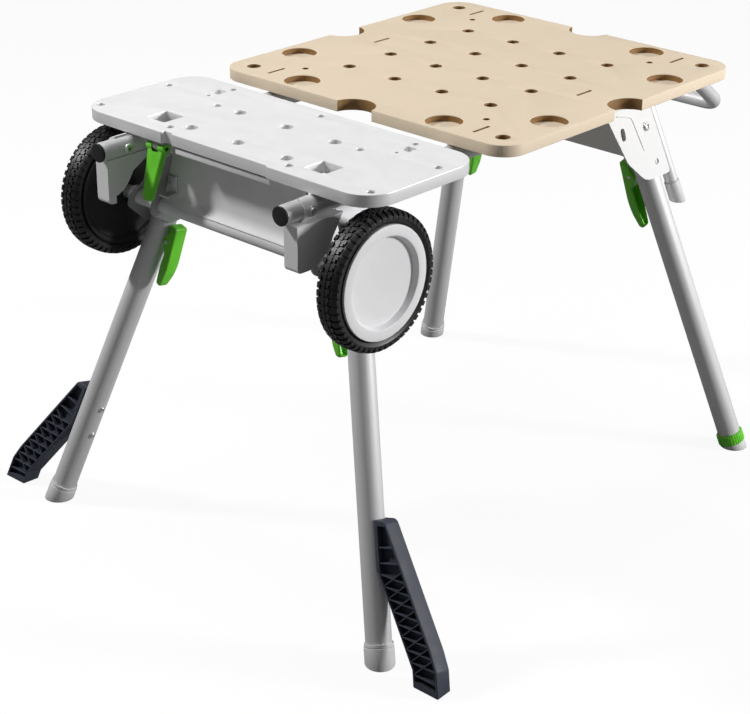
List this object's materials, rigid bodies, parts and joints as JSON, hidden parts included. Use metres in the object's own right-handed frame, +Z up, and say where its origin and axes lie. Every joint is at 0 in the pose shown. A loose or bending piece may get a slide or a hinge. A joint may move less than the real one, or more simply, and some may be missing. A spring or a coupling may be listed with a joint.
{
  "type": "table saw stand",
  "caption": "Folding wheeled stand with a perforated wooden board, a cast aluminium table, lockable splayed legs and a loop handle, for carrying a bench-top saw.",
  "frame": {"origin": "on the floor under the middle of the whole stand's box", "axes": "+Z up, +Y from the wheeled front end to the loop handle at the back, +X to the right"},
  "size_m": [0.9446, 1.055, 0.663],
  "materials": {
    "plywood": "sanded birch plywood with a clear coat, layered edges",
    "cast_aluminium": "pale satin cast plate",
    "tube_aluminium": "satin drawn tube",
    "grey_steel": "grey powder coat",
    "bright_steel": "zinc-plated",
    "white_plate": "pale grey powder coat",
    "black_plastic": "moulded, lightly grained",
    "black_rubber": "matt black tread",
    "silver_plastic": "silver moulded disc",
    "green_plastic": "bright green moulding",
    "grey_plastic": "pale grey moulded foot"
  },
  "bodies": {
    "frame": {"wood_board": "plywood", "alu_table": "cast_aluminium", "left_rail": "tube_aluminium", "left_rear_stub_tube": "tube_aluminium", "left_rail_cap": "black_plastic", "left_rear_stub_cap": "grey_plastic", "left_gusset": "white_plate", "left_rear_bracket": "white_plate", "left_gusset_bolt": "bright_steel", "left_axle_retainer": "bright_steel", "left_front_bracket": "grey_steel", "right_rail": "tube_aluminium", "right_rear_stub_tube": "tube_aluminium", "right_rail_cap": "black_plastic", "right_rear_stub_cap": "grey_plastic", "right_gusset": "white_plate", "right_rear_bracket": "white_plate", "right_gusset_bolt": "bright_steel", "right_axle_retainer": "bright_steel", "right_front_bracket": "grey_steel", "loop_handle": "tube_aluminium", "axle_tube": "grey_steel", "rear_beam": "grey_steel", "latch_mount": "grey_steel", "wheel_axle": "bright_steel", "latch_pin": "bright_steel", "latch_catch": "bright_steel", "front_beam": "white_plate", "left_front_pivot_bolt": "bright_steel", "right_front_pivot_bolt": "bright_steel", "left_rear_pivot_bolt": "bright_steel", "right_rear_pivot_bolt": "bright_steel"},
    "left_wheel": {"left_tyre": "black_rubber", "left_rim": "black_plastic", "left_hub_cover": "silver_plastic"},
    "right_wheel": {"right_tyre": "black_rubber", "right_rim": "black_plastic", "right_hub_cover": "silver_plastic"},
    "left_front_support": {"left_front_leg": "tube_aluminium", "left_front_foot": "grey_plastic", "left_stabiliser": "black_plastic"},
    "left_front_lock_lever": {"left_front_lever": "green_plastic"},
    "left_front_lock_pin": {"left_front_plunger": "bright_steel"},
    "right_front_support": {"right_front_leg": "tube_aluminium", "right_front_foot": "grey_plastic", "right_stabiliser": "black_plastic"},
    "right_front_lock_lever": {"right_front_lever": "green_plastic"},
    "right_front_lock_pin": {"right_front_plunger": "bright_steel"},
    "left_rear_support": {"left_rear_leg": "tube_aluminium", "left_rear_foot": "grey_plastic"},
    "left_rear_lock_lever": {"left_rear_lever": "green_plastic"},
    "left_rear_lock_pin": {"left_rear_plunger": "bright_steel"},
    "right_rear_support": {"right_rear_leg": "tube_aluminium", "adjuster_socket": "grey_plastic"},
    "right_rear_lock_lever": {"right_rear_lever": "green_plastic"},
    "right_rear_lock_pin": {"right_rear_plunger": "bright_steel"},
    "foot_ring": {"adjuster_ring": "green_plastic"},
    "foot_pad": {"adjuster_pad": "grey_plastic"},
    "front_latch": {"latch_lever": "green_plastic"}
  },
  "joints": [
    {"name": "left_wheel_spin", "type": "hinge", "parent": "frame", "child": "left_wheel", "pos_m": [-0.2443, -0.42193, 0.53], "axis": [1, 0, 0], "continuous": true},
    {"name": "right_wheel_spin", "type": "hinge", "parent": "frame", "child": "right_wheel", "pos_m": [0.2443, -0.42193, 0.53], "axis": [1, 0, 0], "continuous": true},
    {"name": "left_front_fold", "type": "hinge", "parent": "frame", "child": "left_front_support", "pos_m": [-0.1917, -0.38433, 0.513], "axis": [0.9542, 0, -0.2991], "range_deg": [0, 102.7]},
    {"name": "left_front_release", "type": "hinge", "parent": "left_front_support", "child": "left_front_lock_lever", "pos_m": [-0.17862, -0.39531, 0.45778], "axis": [-0.0657, 0.9756, -0.2095], "range_deg": [0, 7], "stiffness_Nm_per_rad": 1.5, "springref_deg": -2.86},
    {"name": "left_front_lock", "type": "slide", "parent": "left_front_support", "child": "left_front_lock_pin", "axis": [0.9542, 0, -0.2991], "range_m": [0, 0.00345]},
    {"name": "right_front_fold", "type": "hinge", "parent": "frame", "child": "right_front_support", "pos_m": [0.1917, -0.38433, 0.513], "axis": [0.9542, 0, 0.2991], "range_deg": [0, 102.7]},
    {"name": "right_front_release", "type": "hinge", "parent": "right_front_support", "child": "right_front_lock_lever", "pos_m": [0.17862, -0.39531, 0.45778], "axis": [-0.0657, -0.9756, 0.2095], "range_deg": [0, 7], "stiffness_Nm_per_rad": 1.5, "springref_deg": -2.86},
    {"name": "right_front_lock", "type": "slide", "parent": "right_front_support", "child": "right_front_lock_pin", "axis": [-0.9542, 0, -0.2991], "range_m": [0, 0.00345]},
    {"name": "left_rear_fold", "type": "hinge", "parent": "frame", "child": "left_rear_support", "pos_m": [-0.1748, 0.28067, 0.558], "axis": [-0.9573, 0, 0.2891], "range_deg": [0, 101.3]},
    {"name": "left_rear_release", "type": "hinge", "parent": "left_rear_support", "child": "left_rear_lock_lever", "pos_m": [-0.17, 0.29656, 0.47358], "axis": [0.0567, 0.9806, 0.1878], "range_deg": [0, 7], "stiffness_Nm_per_rad": 1.5, "springref_deg": -2.86},
    {"name": "left_rear_lock", "type": "slide", "parent": "left_rear_support", "child": "left_rear_lock_pin", "axis": [0.9573, 0, -0.2891], "range_m": [0, 0.00345]},
    {"name": "right_rear_fold", "type": "hinge", "parent": "frame", "child": "right_rear_support", "pos_m": [0.1748, 0.28067, 0.558], "axis": [-0.9573, 0, -0.2891], "range_deg": [0, 101.3]},
    {"name": "right_rear_release", "type": "hinge", "parent": "right_rear_support", "child": "right_rear_lock_lever", "pos_m": [0.17, 0.29656, 0.47358], "axis": [0.0567, -0.9806, -0.1878], "range_deg": [0, 7], "stiffness_Nm_per_rad": 1.5, "springref_deg": -2.86},
    {"name": "right_rear_lock", "type": "slide", "parent": "right_rear_support", "child": "right_rear_lock_pin", "axis": [-0.9573, 0, -0.2891], "range_m": [0, 0.00345]},
    {"name": "foot_ring_turn", "type": "hinge", "parent": "right_rear_support", "child": "foot_ring", "pos_m": [0.3433, 0.39727, 0], "axis": [-0.2835, -0.1962, 0.9387], "range_deg": [0, 1440]},
    {"name": "foot_pad_travel", "type": "slide", "parent": "right_rear_support", "child": "foot_pad", "axis": [0.2835, 0.1962, -0.9387], "range_m": [0, 0.01205]},
    {"name": "front_latch_lift", "type": "hinge", "parent": "frame", "child": "front_latch", "pos_m": [-0.131, -0.45533, 0.634], "axis": [-1, 0, 0], "range_deg": [0, 63]}
  ],
  "couplings": [
    {"joint": "left_front_lock", "follows": "left_front_release", "m_per_rad": 0.028},
    {"joint": "right_front_lock", "follows": "right_front_release", "m_per_rad": 0.028},
    {"joint": "left_rear_lock", "follows": "left_rear_release", "m_per_rad": 0.028},
    {"joint": "right_rear_lock", "follows": "right_rear_release", "m_per_rad": 0.028},
    {"joint": "foot_pad_travel", "follows": "foot_ring_turn", "m_per_rad": 0.00047746}
  ]
}
